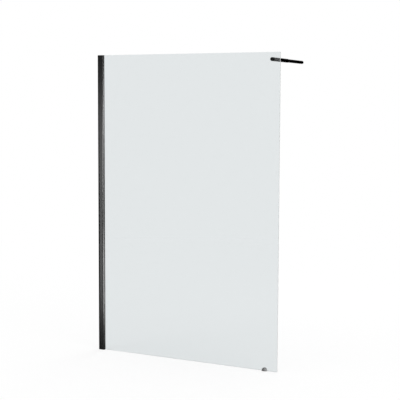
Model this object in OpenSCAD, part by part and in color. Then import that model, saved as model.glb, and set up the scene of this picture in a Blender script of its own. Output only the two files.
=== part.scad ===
// Walk-in shower screen: a frameless pane in a black wall profile, steadied at the top
// by a telescopic arm to the opposite wall and at the bottom by a small floor clip.
// Origin: the wall, at floor level, on the middle plane of the glass.
// +X runs along the glass away from the wall, +Y into the shower, +Z up.

/* [Screen] */
// Height of the wall profile and of the glass's top edge above the floor
screen_h = 2000; // [1700:10:2200]
// From the wall to the free edge of the glass
screen_w = 1300; // [700:10:1600]

/* [Glass] */
// Thickness of the toughened pane
glass_t = 8; // [6:1:10]
// How far the pane goes into the glazing profile
glass_insert = 14; // [12:0.5:16]
// Radius of the pane's corners
glass_corner_r = 3; // [1:0.5:10]
// Ground-off edge of the pane, each way
arris = 0.8; // [0.4:0.1:1.5]

/* [Wall channel] */
// Thickness of the channel's two flanges
channel_wall = 1.8; // [1.4:0.1:2.4]
// Thickness of the channel's back, against the wall
channel_web = 2; // [1.6:0.1:2.6]
// How much of the channel shows between the wall and the glazing profile
strip_show = 11; // [10:0.5:14]
// Number of wall screws
wall_screws = 4; // [4:2:6]
// From either end of the channel to the first wall screw
wall_screw_end = 100; // [60:5:200]
// Hole for a wall screw
wall_screw_hole_d = 5.5; // [4.5:0.1:6]

/* [Glazing profile] */
// Flat part of the profile's face
flat_w = 20; // [18:0.5:26]
// Rounded nose of the profile, from the flat part to its tip
nose_w = 13; // [11:0.5:16]
// Wall of the profile's outer shell
profile_wall = 1.6; // [1.3:0.1:2]
// Wall of the pocket that holds the pane
pocket_wall = 1.3; // [1:0.1:1.6]
// Thickness of the profile's tip beside the gasket
tip_t = 0.8; // [0.6:0.1:1.2]
// Thickened band along the profile's back edge, which the side screws draw onto the channel
lip_h = 1; // [0.6:0.1:1.6]
// Width of that band
lip_w = 11; // [10.5:0.5:14]
// Thickness of the gasket round the pane's edge
gasket_t = 1.2; // [0.8:0.1:1.6]
// Gap between the pocket and the channel's flanges
pocket_gap = 1.3; // [1:0.1:2]

/* [Side screws] */
// Number of screws that clamp the profile to the channel
side_screws_n = 3; // [2:1:5]
// From either end of the profile to the first side screw
side_screw_end = 150; // [100:5:300]
// From the profile's back edge to the screws' line
side_screw_edge = 5.5; // [5.4:0.1:6]
// Thread of the side screws
side_thread_d = 4; // [3.5:0.5:4]
// Head of the side screws
side_head_d = 7.6; // [7:0.1:7.8]
// Height of that head
side_head_t = 2.2; // [1.8:0.1:2.6]
// Bottom of the cup under each head
cup_t = 1; // [0.8:0.1:1.4]
// Wall of the cup round each head
cup_wall = 0.75; // [0.6:0.05:0.8]
// Height of the cup's rim
cup_rim_h = 1.2; // [0.8:0.1:1.6]
// Wall of the snap-on cap over each head
snap_wall = 0.6; // [0.5:0.1:0.8]
// Width of the clamp plate behind the channel's flange
plate_w = 8; // [7:0.5:9]
// Height of the clamp plate
plate_h = 18; // [14:1:26]
// Thickness of the clamp plate
plate_t = 2.5; // [2:0.5:4]
// How far the screws' ends stand out of the plates
side_screw_proud = 1; // [0.5:0.5:2]
// How far the panel can be drawn away from the wall
travel_out = 5; // [2:0.5:6]

/* [End pieces] */
// Thickness of the profile's top cap
cap_t = 3.6; // [2:0.2:6]
// Depth of the cap's leg beside the pocket
cap_leg_h = 12; // [8:1:20]
// Thickness of that leg
cap_leg_t = 2; // [1.5:0.5:3]
// Depth of the plug in the top of the channel
plug_h = 8; // [5:1:14]

/* [Stabiliser arm] */
// From the free edge of the glass to the arm's axis
arm_inset = 53; // [40:1:120]
// From the top of the glass to the arm's axis
arm_drop = 44; // [30:1:120]
// From the middle of the glass to the opposite wall, as set
arm_reach = 540; // [500:5:800]
// Outer diameter of the outer tube
tube_d = 24; // [19:0.5:25]
// Wall of the outer tube
tube_wall = 1; // [0.8:0.1:1.5]
// Length of the outer tube
tube_len = 255; // [230:5:320]
// Wall of the inner rod, a tube itself
rod_wall = 1; // [0.8:0.1:1.5]
// Gap between the inner rod and the outer tube, all round
rod_gap = 0.5; // [0.45:0.05:0.8]
// How far the arm can be pushed in from where it is set
arm_travel_in = 30; // [10:5:40]

/* [Arm pieces] */
// Diameter of the button on the front of the glass
button_d = 23; // [16:0.5:26]
// Thickness of the button
button_t = 5.2; // [4.5:0.1:8]
// Rounding of the button's rim
button_r = 1.5; // [0.5:0.1:2]
// Washers either side of the glass
washer_t = 0.8; // [0.5:0.1:1.5]
// How far the front washer stays inside the button's rim
washer_inset = 0.5; // [0.2:0.1:1.5]
// Hole through the glass
glass_hole_d = 12; // [10:0.5:14]
// Threaded stud through the glass
stud_d = 6; // [5:1:8]
// How deep the stud goes into the button
stud_in_button = 3.5; // [3:0.1:4]
// Length of the threaded plug in the outer tube's end
tube_plug_len = 17; // [12:1:22]
// Length of the plain bush in the outer tube's mouth
mouth_len = 24; // [15:1:35]
// Thickness of that bush's end flange
mouth_flange_t = 2.5; // [1.5:0.5:4]
// Thread of the small hex socket screws
grub_d = 4; // [3:1:5]
// From the mouth of the outer tube to its lock screw
lock_screw_back = 12; // [8:1:14]
// Length of the glide plug's collar on the inner rod
glide_collar_t = 6; // [4:1:10]
// Length of the glide plug's spigot inside the rod
glide_spigot_len = 12; // [8:1:20]
// Length of the wall stub hidden in the rod's end
stub_len = 25; // [22:1:40]
// Hole for the screw that holds the stub to the wall
stub_screw_hole_d = 5; // [4.5:0.1:5.5]
// Recess for that screw's head
stub_recess_d = 9.5; // [9:0.1:10]
// Depth of that recess
stub_recess_len = 12; // [10:1:14]
// From the stub's inner end to its own small screw
stub_grub_in = 6; // [5:0.5:7]

/* [Floor clip] */
// From the free edge of the glass to the middle of the clip
clip_inset = 85; // [50:1:200]
// Width of the clip
clip_w = 34; // [32:1:44]
// Height of the clip
clip_h = 22; // [21:1:34]
// Thickness of its cheeks at the middle
clip_cheek = 4.1; // [3.6:0.1:6]
// How much the cheeks fall away towards their ends
clip_crown = 3; // [1.5:0.1:3.2]
// Thickness of its base
clip_base = 1.6; // [1.2:0.1:3]
// Thickness of the soft liner between clip and glass
liner_t = 0.9; // [0.6:0.1:1.5]
// How far the liner stays inside the clip's outline
liner_inset = 3; // [2:0.5:5]
// Hole for the screw that holds the clip to the floor
clip_screw_hole_d = 4.5; // [4:0.1:5]
// Hole in the liner over that screw's head
liner_hole_d = 9; // [8:0.1:10]
// Thread of the clip's two pinch screws
pinch_d = 5; // [4:1:6]
// Distance between the pinch screws
pinch_pitch = 16; // [14:1:18]
// Height of the pinch screws above the floor
pinch_z = 10; // [9:0.5:13]

/* [Fits] */
// Sliding gap between the profile's lip and the channel
slide_gap = 0.3; // [0.2:0.05:0.5]
// Radial gap of running fits and of pieces pushed into a bore
run_fit = 0.05; // [0.03:0.01:0.08]
// Radial gap round a screw in a plain hole
screw_gap = 0.2; // [0.15:0.05:0.4]
// Gap left between pieces that must not meet at the end of a travel
stop_gap = 0.5; // [0.3:0.1:1]
// Gap between the profile and the wall when pushed right in
wall_gap = 1; // [0.5:0.5:2]

/* [Hidden] */
$fn = 64;
cut = 1; // overrun of every cutting tool

// Depths of the nested profiles, measured from the middle plane of the glass
pocket_in_y = glass_t / 2 + gasket_t;
pocket_out_y = pocket_in_y + pocket_wall;
channel_in_y = pocket_out_y + pocket_gap;
channel_out_y = channel_in_y + channel_wall;
lip_in_y = channel_out_y + slide_gap;
shell_in_y = lip_in_y + lip_h;
shell_out_y = shell_in_y + profile_wall;
tip_y = pocket_in_y + tip_t;

// Distances from the wall
profile_x = strip_show;
nose_x = profile_x + flat_w;
tip_x = nose_x + nose_w;
glass_x = tip_x - glass_insert;
pocket_x = glass_x - gasket_t;
web_x = pocket_x - pocket_wall;
travel_in = strip_show - wall_gap;
side_screw_x = profile_x + side_screw_edge;
slot_r = side_thread_d / 2 + screw_gap;
slot_end_margin = 2.3; // metal left between a slot and the flange's edge
channel_w = side_screw_x + travel_out + slot_r + slot_end_margin;

// The nose is an arc that leaves the flat face smoothly and ends at the tip
nose_drop = shell_out_y - tip_y;
nose_r = (nose_w * nose_w + nose_drop * nose_drop) / (2 * nose_drop);
nose_centre_y = shell_out_y - nose_r;

// Side screws and what goes with them
cup_d = side_head_d + 2 * run_fit + 2 * cup_wall;
snap_d = cup_d + 2 * run_fit + 2 * snap_wall;
snap_h = cup_t + side_head_t + stop_gap + snap_wall;
side_shaft_in_y = channel_in_y - plate_t - side_screw_proud;
socket_af = 2.5; // hex socket across the flats
socket_depth = 1.3;

// Arm
arm_x = screen_w - arm_inset;
arm_z = screen_h - arm_drop;
glass_y = glass_t / 2;
tube_y = glass_y + washer_t;
tube_bore_d = tube_d - 2 * tube_wall;
rod_d = tube_bore_d - 2 * rod_gap;
rod_bore_d = rod_d - 2 * rod_wall;
tube_plug_end_y = tube_y + tube_plug_len;
tube_end_y = tube_y + tube_len;
rod_y = tube_plug_end_y + stop_gap + arm_travel_in + glide_collar_t;
rod_len = arm_reach - rod_y;
stub_y = arm_reach - stub_len;
lock_screw_y = tube_end_y - lock_screw_back;
stub_grub_y = stub_y + stub_grub_in;
stub_grub_depth = 0.15; // clear of the screw-head recess
grub_fit = 0.05;

// Floor clip
clip_x = screen_w - clip_inset;
clip_in_y = glass_t / 2 + liner_t;
clip_out_y = clip_in_y + clip_cheek;
clip_face_r = (clip_w * clip_w / 4 + clip_crown * clip_crown) / (2 * clip_crown);
floor_gap = clip_base + liner_t;

// Heights shared by the side screws and by the wall screws
side_screw_zs = spread(side_screws_n, side_screw_end);
wall_screw_zs = spread(wall_screws, wall_screw_end);

// Even spacing up the screen's height, with the same distance left at both ends
function spread(n, end) = [for (i = [0 : n - 1]) end + i * (screen_h - 2 * end) / (n - 1)];

black = [0.05, 0.05, 0.055];
steel = [0.72, 0.72, 0.73];
clear = [0.86, 0.92, 0.92, 0.35];

// A rod or hole along +Y that starts at y
module along_y(d, y, len) {
    translate([0, y, 0]) rotate([-90, 0, 0]) cylinder(d = d, h = len);
}

// A tube along +Y that starts at y
module tube_y(d, bore, y, len) {
    difference() {
        along_y(d, y, len);
        along_y(bore, y - cut, len + 2 * cut);
    }
}

// A rod along -Z whose top is at z
module down_z(d, z, len) {
    translate([0, 0, z - len]) cylinder(d = d, h = len);
}

// A hex socket screw without a head, standing on its tip at z = 0
module grub(d, len) {
    difference() {
        cylinder(d = d, h = len);
        translate([0, 0, len - min(socket_depth, len / 2)]) cylinder(d = d / 2, h = len, $fn = 6);
    }
}

// Puts its children on the arm's axis
module on_arm() {
    translate([arm_x, 0, arm_z]) children();
}

// Puts its children at each side screw, with +Y out of the shower-side face
module at_side_screws() {
    for (z = side_screw_zs) translate([side_screw_x, 0, z]) children();
}

// Wall channel: a U open towards the glass
module channel_section() {
    difference() {
        translate([0, -channel_out_y]) square([channel_w, 2 * channel_out_y]);
        translate([channel_web, -channel_in_y]) square([channel_w, 2 * channel_in_y]);
    }
}

// Slot in the channel's shower-side flange, as long as the panel's travel
module side_slot() {
    slot_from = -travel_in;
    slot_to = travel_out;
    rotate([-90, 0, 0]) linear_extrude(height = channel_out_y + cut) {
        translate([slot_from, -slot_r]) square([slot_to - slot_from, 2 * slot_r]);
        translate([slot_from, 0]) circle(r = slot_r);
        translate([slot_to, 0]) circle(r = slot_r);
    }
}

module wall_channel() {
    color(black) difference() {
        linear_extrude(height = screen_h) channel_section();
        for (z = wall_screw_zs) {
            translate([-cut, 0, z]) rotate([0, 90, 0]) cylinder(d = wall_screw_hole_d, h = channel_web + 2 * cut);
        }
        at_side_screws() side_slot();
    }
}

// Plug that closes the top of the channel, just below the profile's own cap
module channel_top_plug() {
    plug_x = channel_web + run_fit;
    plug_end_x = web_x - cap_leg_t - travel_in - stop_gap;
    half_y = channel_in_y - run_fit;
    top_z = screen_h - cap_t - stop_gap;
    color(black) translate([plug_x, -half_y, top_z - plug_h]) cube([plug_end_x - plug_x, 2 * half_y, plug_h]);
}

// Glazing profile: an outer shell that slides over the channel, and a pocket for the pane
module nose_half(r, x_end) {
    intersection() {
        translate([nose_x, nose_centre_y]) circle(r = r, $fn = 128);
        translate([nose_x, 0]) square([x_end - nose_x, shell_out_y]);
    }
}

module both_sides() {
    children();
    mirror([0, 1]) children();
}

module profile_section() {
    shell_inner_r = nose_r - profile_wall;
    difference() {
        union() {
            difference() {
                union() {
                    translate([profile_x, -shell_out_y]) square([flat_w, 2 * shell_out_y]);
                    both_sides() nose_half(nose_r, tip_x);
                }
                translate([profile_x - cut, -lip_in_y]) square([lip_w + 2 * cut, 2 * lip_in_y]);
                translate([profile_x + lip_w, -shell_in_y]) square([flat_w - lip_w, 2 * shell_in_y]);
                both_sides() nose_half(shell_inner_r, tip_x);
            }
            translate([web_x, -pocket_out_y]) square([tip_x - web_x, 2 * pocket_out_y]);
        }
        translate([pocket_x, -pocket_in_y]) square([tip_x - pocket_x + cut, 2 * pocket_in_y]);
        // trims the pocket's walls to the nose's own curve
        both_sides() difference() {
            translate([nose_x, pocket_in_y]) square([nose_w + cut, shell_out_y]);
            translate([nose_x, nose_centre_y]) circle(r = nose_r, $fn = 128);
        }
    }
}

module glazing_profile() {
    color(black) difference() {
        linear_extrude(height = screen_h) profile_section();
        at_side_screws() along_y(2 * slot_r, channel_out_y, shell_out_y);
    }
}

// Top cap of the profile: a plate between the channel's flanges, with a leg on the pocket's back
module profile_top_cap() {
    cap_x = channel_web + stop_gap + travel_in;
    half_y = channel_in_y - slide_gap;
    color(black) {
        translate([cap_x, -half_y, screen_h - cap_t]) cube([web_x - cap_x, 2 * half_y, cap_t]);
        translate([web_x - cap_leg_t, -pocket_out_y, screen_h - cap_t - cap_leg_h])
            cube([cap_leg_t, 2 * pocket_out_y, cap_leg_h + run_fit]);
    }
}

// Soft U round the pane's edge
module glazing_gasket() {
    color([0.12, 0.12, 0.12]) translate([0, 0, floor_gap]) linear_extrude(height = screen_h - floor_gap) {
        difference() {
            translate([pocket_x, -pocket_in_y]) square([tip_x - pocket_x, 2 * pocket_in_y]);
            translate([glass_x, -glass_y]) square([tip_x - glass_x + cut, glass_t]);
        }
    }
}

// The pane's outline, seen square on, with its lower corner at the origin
module pane_outline(w, h, r) {
    translate([r, 0]) square([w - 2 * r, h]);
    translate([0, r]) square([w, h - 2 * r]);
    for (x = [r, w - r], y = [r, h - r]) translate([x, y]) circle(r = r);
}

// A bar's section t thick, with the arris ground off at its far end
module arris_section(len, t) {
    polygon([
        [0, -t / 2], [len - arris, -t / 2], [len, arris - t / 2],
        [len, t / 2 - arris], [len - arris, t / 2], [0, t / 2]
    ]);
}

module glass_panel() {
    w = screen_w - glass_x;
    h = screen_h - floor_gap;
    color(clear) translate([glass_x, 0, floor_gap]) difference() {
        intersection() {
            rotate([90, 0, 0]) translate([0, 0, -glass_y]) linear_extrude(height = glass_t) pane_outline(w, h, glass_corner_r);
            linear_extrude(height = h) arris_section(w, glass_t);
            translate([0, 0, h / 2]) rotate([0, 90, 0]) linear_extrude(height = w) {
                translate([-h / 2, 0]) arris_section(h, glass_t);
            }
            translate([0, 0, h / 2]) rotate([0, 90, 0]) linear_extrude(height = w) mirror([1, 0]) {
                translate([-h / 2, 0]) arris_section(h, glass_t);
            }
        }
        translate([arm_x - glass_x, 0, arm_z - floor_gap]) along_y(glass_hole_d, -glass_y - cut, glass_t + 2 * cut);
    }
}

// Screws that clamp the profile on the channel once the pane stands plumb
module side_screws() {
    color(steel) at_side_screws() difference() {
        union() {
            along_y(side_thread_d, side_shaft_in_y, shell_out_y + cup_t - side_shaft_in_y);
            along_y(side_head_d, shell_out_y + cup_t, side_head_t);
        }
        translate([0, shell_out_y + cup_t + side_head_t - socket_depth, 0]) rotate([-90, 0, 0])
            cylinder(d = socket_af * 2 / sqrt(3), h = side_head_t, $fn = 6);
    }
}

module side_screw_cups() {
    color(black) at_side_screws() difference() {
        along_y(cup_d, shell_out_y, cup_t + cup_rim_h);
        along_y(side_head_d + 2 * run_fit, shell_out_y + cup_t, cup_rim_h + cut);
        along_y(2 * slot_r, shell_out_y - cut, cup_t + 2 * cut);
    }
}

module side_screw_caps() {
    color(black) at_side_screws() difference() {
        along_y(snap_d, shell_out_y, snap_h);
        along_y(snap_d - 2 * snap_wall, shell_out_y - cut, snap_h - snap_wall + cut);
    }
}

// Threaded plates behind the channel's flange, drawn up by the side screws
module clamp_plates() {
    color(steel) at_side_screws() difference() {
        translate([-plate_w / 2, channel_in_y - plate_t, -plate_h / 2]) cube([plate_w, plate_t, plate_h]);
        along_y(side_thread_d + 2 * grub_fit, channel_in_y - plate_t - cut, plate_t + 2 * cut);
    }
}

// Arm: button, stud and washers clamp the glass against the outer tube's end
module arm_button() {
    button_y = -glass_y - washer_t;
    color(black) on_arm() difference() {
        translate([0, button_y, 0]) rotate([90, 0, 0]) rotate_extrude() {
            square([button_d / 2, button_t - button_r]);
            square([button_d / 2 - button_r, button_t]);
            translate([button_d / 2 - button_r, button_t - button_r]) intersection() {
                circle(r = button_r);
                square(button_r);
            }
        }
        along_y(stud_d + 2 * grub_fit, button_y - stud_in_button, stud_in_button + cut);
    }
}

module button_washer() {
    color(clear) on_arm() tube_y(button_d - 2 * washer_inset, stud_d + 2 * screw_gap, -glass_y - washer_t, washer_t);
}

module hole_bush() {
    color(clear) on_arm() tube_y(glass_hole_d - 2 * run_fit, stud_d + 2 * screw_gap, -glass_y, glass_t);
}

module arm_stud() {
    from_y = -glass_y - washer_t - stud_in_button + run_fit;
    color(steel) on_arm() along_y(stud_d, from_y, tube_plug_end_y - from_y);
}

module tube_washer() {
    color(clear) on_arm() tube_y(tube_d, stud_d + 2 * screw_gap, glass_y, washer_t);
}

module tube_plug() {
    color(steel) on_arm() tube_y(tube_bore_d - 2 * run_fit, stud_d + 2 * grub_fit, tube_y, tube_plug_len);
}

module arm_outer_tube() {
    color(black) on_arm() difference() {
        tube_y(tube_d, tube_bore_d, tube_y, tube_len);
        translate([0, lock_screw_y, 0]) down_z(grub_d + 2 * grub_fit, 0, tube_d);
    }
}

// Plain bush that the inner rod slides through
module mouth_bush() {
    bore_d = rod_d + 2 * run_fit;
    color(black) on_arm() difference() {
        union() {
            along_y(tube_bore_d - 2 * run_fit, tube_end_y - mouth_len, mouth_len);
            along_y(tube_d, tube_end_y, mouth_flange_t);
        }
        along_y(bore_d, tube_end_y - mouth_len - cut, mouth_len + mouth_flange_t + 2 * cut);
        translate([0, lock_screw_y, 0]) down_z(grub_d + 2 * grub_fit, 0, tube_d);
    }
}

// Small screw under the tube that locks the arm at its length
module lock_screw() {
    tip = rod_d / 2 + run_fit;
    color(steel) on_arm() translate([0, lock_screw_y, -tip]) rotate([180, 0, 0]) grub(grub_d, tube_d / 2 - tip);
}

module arm_inner_rod() {
    color(black) on_arm() difference() {
        tube_y(rod_d, rod_bore_d, rod_y, rod_len);
        translate([0, stub_grub_y, 0]) down_z(grub_d + 2 * grub_fit, 0, rod_d);
    }
}

// Keeps the rod's inner end central in the outer tube
module rod_glide_plug() {
    color(black) on_arm() {
        along_y(tube_bore_d - 2 * run_fit, rod_y - glide_collar_t, glide_collar_t);
        along_y(rod_bore_d - 2 * run_fit, rod_y - cut, glide_spigot_len + cut);
    }
}

// Stub screwed to the opposite wall, over which the rod's end is pushed
module wall_stub() {
    color(steel) on_arm() difference() {
        along_y(rod_bore_d - 2 * run_fit, stub_y, stub_len);
        along_y(stub_screw_hole_d, stub_y - cut, stub_len + 2 * cut);
        along_y(stub_recess_d, stub_y - cut, stub_recess_len + cut);
        translate([0, stub_grub_y, 0]) down_z(grub_d + 2 * grub_fit, 0, rod_d);
    }
}

module stub_grub_screw() {
    tip = stub_recess_d / 2 + stub_grub_depth;
    color(steel) on_arm() translate([0, stub_grub_y, -tip]) rotate([180, 0, 0]) grub(grub_d, rod_d / 2 - tip);
}

// Round-topped outline of the clip, seen square on
module clip_outline(w, h) {
    intersection() {
        union() {
            translate([-w / 2, 0]) square([w, h - w / 2]);
            translate([0, h - w / 2]) circle(d = w, $fn = 96);
        }
        translate([-w / 2, 0]) square([w, h]);
    }
}

// Plan of the clip: both faces bow outwards
module clip_plan() {
    intersection() {
        translate([0, clip_face_r - clip_out_y]) circle(r = clip_face_r, $fn = 128);
        translate([0, clip_out_y - clip_face_r]) circle(r = clip_face_r, $fn = 128);
        translate([-clip_w / 2, -clip_out_y]) square([clip_w, 2 * clip_out_y]);
    }
}

module at_pinch_screws() {
    for (side = [-1, 1]) translate([clip_x + side * pinch_pitch / 2, 0, pinch_z]) children();
}

module floor_clip() {
    color([0.5, 0.5, 0.51]) difference() {
        translate([clip_x, 0, 0]) intersection() {
            linear_extrude(height = clip_h) clip_plan();
            rotate([90, 0, 0]) translate([0, 0, -clip_out_y]) linear_extrude(height = 2 * clip_out_y) {
                clip_outline(clip_w, clip_h);
            }
        }
        translate([clip_x - clip_w, -clip_in_y, clip_base]) cube([2 * clip_w, 2 * clip_in_y, clip_h]);
        translate([clip_x, 0, -cut]) cylinder(d = clip_screw_hole_d, h = clip_base + 2 * cut);
        at_pinch_screws() along_y(pinch_d + 2 * grub_fit, 0, clip_out_y + cut);
    }
}

module clip_liner() {
    w = clip_w - 2 * liner_inset;
    h = clip_h - liner_inset - clip_base;
    color([0.2, 0.2, 0.2]) translate([clip_x, 0, clip_base]) difference() {
        rotate([90, 0, 0]) translate([0, 0, -clip_in_y]) linear_extrude(height = 2 * clip_in_y) clip_outline(w, h);
        translate([-clip_w, -glass_y, liner_t]) cube([2 * clip_w, glass_t, clip_h]);
        translate([0, 0, -cut]) cylinder(d = liner_hole_d, h = liner_t + 2 * cut);
    }
}

// Small screws in the shower-side cheek that pinch the glass through the liner
module clip_pinch_screws() {
    pinch_face_y = clip_out_y - clip_face_r + sqrt(clip_face_r * clip_face_r - pow((pinch_pitch + pinch_d) / 2, 2));
    color(steel) at_pinch_screws() translate([0, clip_in_y, 0]) rotate([-90, 0, 0])
        grub(pinch_d, pinch_face_y - clip_in_y);
}

wall_channel();
channel_top_plug();
floor_clip();
clip_liner();
clip_pinch_screws();
glazing_profile();
profile_top_cap();
glazing_gasket();
glass_panel();
side_screws();
side_screw_cups();
side_screw_caps();
clamp_plates();
arm_button();
button_washer();
hole_bush();
arm_stud();
tube_washer();
tube_plug();
arm_outer_tube();
mouth_bush();
lock_screw();
arm_inner_rod();
rod_glide_plug();
wall_stub();
stub_grub_screw();
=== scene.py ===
import math

import bmesh
import bpy
from mathutils import Matrix, Vector


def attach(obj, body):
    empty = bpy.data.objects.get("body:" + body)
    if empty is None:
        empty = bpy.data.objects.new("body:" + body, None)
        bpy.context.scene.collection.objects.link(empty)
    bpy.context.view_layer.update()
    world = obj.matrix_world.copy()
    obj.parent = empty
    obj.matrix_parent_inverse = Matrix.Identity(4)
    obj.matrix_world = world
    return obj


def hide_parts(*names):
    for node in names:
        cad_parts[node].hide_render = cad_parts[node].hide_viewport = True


# Walk-in shower screen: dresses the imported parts, lights them and sets the camera.
# Metres, same frame as the parts: X along the glass, Y into the shower, Z up.
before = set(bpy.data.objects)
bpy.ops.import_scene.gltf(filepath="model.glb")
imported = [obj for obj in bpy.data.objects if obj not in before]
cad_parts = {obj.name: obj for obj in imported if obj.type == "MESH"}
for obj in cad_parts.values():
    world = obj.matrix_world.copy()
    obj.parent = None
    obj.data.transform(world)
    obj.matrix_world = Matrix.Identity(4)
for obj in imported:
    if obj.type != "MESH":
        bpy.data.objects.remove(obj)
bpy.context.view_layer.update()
print("frame loaded:", len(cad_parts), "parts")


# building node graphs
class Wire:  # one output socket, so that sums on it read as sums
    def __init__(self, graph, socket):
        self.graph = graph
        self.socket = socket

    def out(self, name):  # another output of the same node
        return Wire(self.graph, self.socket.node.outputs[name])

    def __add__(self, other):
        return self.graph.maths("ADD", self, other)

    def __radd__(self, other):
        return self.graph.maths("ADD", other, self)

    def __sub__(self, other):
        return self.graph.maths("SUBTRACT", self, other)

    def __rsub__(self, other):
        return self.graph.maths("SUBTRACT", other, self)

    def __mul__(self, other):
        return self.graph.maths("MULTIPLY", self, other)

    def __rmul__(self, other):
        return self.graph.maths("MULTIPLY", other, self)

    def __truediv__(self, other):
        return self.graph.maths("DIVIDE", self, other)

    def __rtruediv__(self, other):
        return self.graph.maths("DIVIDE", other, self)


class Graph:  # a node tree, for a finish or for geometry
    def __init__(self, tree):
        self.tree = tree
        tree.nodes.clear()

    def add(self, kind, settings=None, inputs=None, take=0):
        node = self.tree.nodes.new(kind)
        for key, value in (settings or {}).items():
            setattr(node, key, value)
        for key, value in (inputs or {}).items():
            if isinstance(value, list):
                for wire in value:
                    self.tree.links.new(wire.socket, node.inputs[key])
            elif isinstance(value, Wire):
                self.tree.links.new(value.socket, node.inputs[key])
            else:
                node.inputs[key].default_value = value
        return Wire(self, node.outputs[take]) if len(node.outputs) else None

    def maths(self, operation, *values):
        return self.add("ShaderNodeMath", {"operation": operation}, dict(enumerate(values)))

    def vectorMaths(self, operation, *values, take=0):
        return self.add("ShaderNodeVectorMath", {"operation": operation}, dict(enumerate(values)), take)

    def clamp(self, value):
        return self.add("ShaderNodeClamp", inputs={"Value": value})

    def blend(self, share, one, two):  # colours go through Mix
        return self.add("ShaderNodeMix", {"data_type": "RGBA"}, {0: share, 6: one, 7: two}, take=2)

    def place(self):
        return self.add("ShaderNodeTexCoord", take="Object")

    def split(self, vector, take="X"):
        return self.add("ShaderNodeSeparateXYZ", inputs={"Vector": vector}, take=take)

    def noise(self, scale, detail=2.0, roughness=0.5):  # three scales stretch it into directional grain
        place = self.place()
        if isinstance(scale, tuple):
            place = self.add("ShaderNodeMapping", inputs={"Vector": place, "Scale": scale})
            scale = 1.0
        return self.add("ShaderNodeTexNoise", inputs={
            "Vector": place, "Scale": scale, "Detail": detail, "Roughness": roughness})

    def cells(self, scale):
        return self.add("ShaderNodeTexVoronoi", inputs={"Vector": self.place(), "Scale": scale})

    def bump(self, height, depth, strength=1.0, normal=None):
        inputs = {"Height": height, "Distance": depth, "Strength": strength}
        if normal:
            inputs["Normal"] = normal
        return self.add("ShaderNodeBump", inputs=inputs)


def newFinish(name, build):  # build gives the surface shader
    material = bpy.data.materials.new(name)
    material.use_nodes = True
    graph = Graph(material.node_tree)
    graph.add("ShaderNodeOutputMaterial", inputs={"Surface": build(graph)})
    return material


def grey(value, tint=(1, 1, 1)):
    return (value * tint[0], value * tint[1], value * tint[2], 1.0)


def weigh(share, one, two):
    return one * share + two * (1 - share)


# finishes: a pattern's scale is in repeats to the metre
coat = {
    "dark": 0.004, "light": 0.008, "dieLines": (850, 850, 1.5), "grain": 1500, "cloud": 9, "depth": 0.000003,
    "even": 0.06, "lineRoughness": 0.07, "cloudRoughness": 0.05, "cloudTone": 0.6, "lineRelief": 0.6,
    "noseFrom": 0.033, "noseBlend": 0.002,
    "flat": {"specular": 0.04, "roughness": 0.44}, "nose": {"specular": 0.12, "roughness": 0.26},
    # the channel's copy mirrors less: painted shade for its strip, set back behind the profile
    "channel": {"specular": 0.01, "roughness": 0.44},
}


def coatedAluminium(g):  # satin black powder coat on extruded aluminium: die lines along Z, fine grain
    lines = g.noise(coat["dieLines"], 3.0)
    grain = g.noise(coat["grain"])
    cloud = g.noise(coat["cloud"], 3.0)
    cloudy = weigh(coat["cloudTone"], cloud, lines)
    tone = g.blend(cloudy, grey(coat["dark"]), grey(coat["light"], (1, 1.01, 1.03)))
    normal = g.bump(weigh(coat["lineRelief"], lines, grain), coat["depth"])
    uneven = lines * coat["lineRoughness"] + cloud * coat["cloudRoughness"]

    def skin(sheen):
        return g.add("ShaderNodeBsdfPrincipled", inputs={
            "Base Color": tone,
            "Roughness": sheen["roughness"] - coat["even"] + uneven,
            "Specular IOR Level": sheen["specular"],
            "Normal": normal,
        })
    return skin


def buildCoat(g):  # duller flats and a smoother nose
    skin = coatedAluminium(g)
    along = g.split(g.place(), "X")
    isNose = g.clamp((along - coat["noseFrom"]) / coat["noseBlend"])
    return g.add("ShaderNodeMixShader", inputs={0: isNose, 1: skin(coat["flat"]), 2: skin(coat["nose"])})


def buildRecessShadeCoat(g):  # a darker, less mirroring copy of the coat for the channel's strip at the wall: painted shade of the recess behind the profile
    return coatedAluminium(g)(coat["channel"])


gloss = {
    "dark": 0.01, "light": 0.018, "roughness": 0.16, "rim": 0.22, "peel": 420, "drawn": (900, 4, 900),
    "cloud": 14, "drawnRoughness": 0.06, "cloudRoughness": 0.05, "depth": 0.00001, "peelRelief": 0.7,
    "axis": (1.247, 0, 1.956), "ringGap": 0.00042, "ringDepth": 0.000006, "ringFace": -0.0097,  # the button
}


def buildGloss(g):  # powder coat on drawn tube: faint orange peel, and turned rings on the button's face
    peel = g.noise(gloss["peel"])
    drawn = g.noise(gloss["drawn"], 3.0)
    cloud = g.noise(gloss["cloud"], 3.0)
    fromAxis = g.vectorMaths("SUBTRACT", g.place(), gloss["axis"])
    radius = g.vectorMaths("LENGTH", g.vectorMaths("MULTIPLY", fromAxis, (1, 0, 1)), take="Value")
    rings = g.maths("SINE", radius * (2 * math.pi / gloss["ringGap"]))
    across = g.split(g.place(), "Y")
    isFace = g.maths("LESS_THAN", across, gloss["ringFace"])
    skin = g.bump(weigh(gloss["peelRelief"], peel, drawn), gloss["depth"])
    return g.add("ShaderNodeBsdfPrincipled", inputs={
        "Base Color": g.blend(cloud, grey(gloss["dark"]), grey(gloss["light"], (1, 1.02, 1.04))),
        "Roughness": gloss["roughness"] + drawn * gloss["drawnRoughness"] + cloud * gloss["cloudRoughness"],
        "Metallic": 1.0,
        "Specular Tint": grey(gloss["rim"]),
        "Normal": g.bump(rings * isFace, gloss["ringDepth"], normal=skin),
    })


glass = {
    "tint": (0.758, 0.790, 0.799, 1), "edgeTint": (0.98, 1.0, 0.995, 1), "face": 0.00395, "ior": 1.5,
    "edgeRoughness": 0.34, "edgeLines": (1, 3000, 1), "lineRoughness": 0.10,
    "silver": 0.38,  # the edge scatters some light back
    "waves": (0.6, 1.0, 3.5), "waveDepth": 0.00004, "waveStrength": 0.5, "shadow": 0.90,
}


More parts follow.
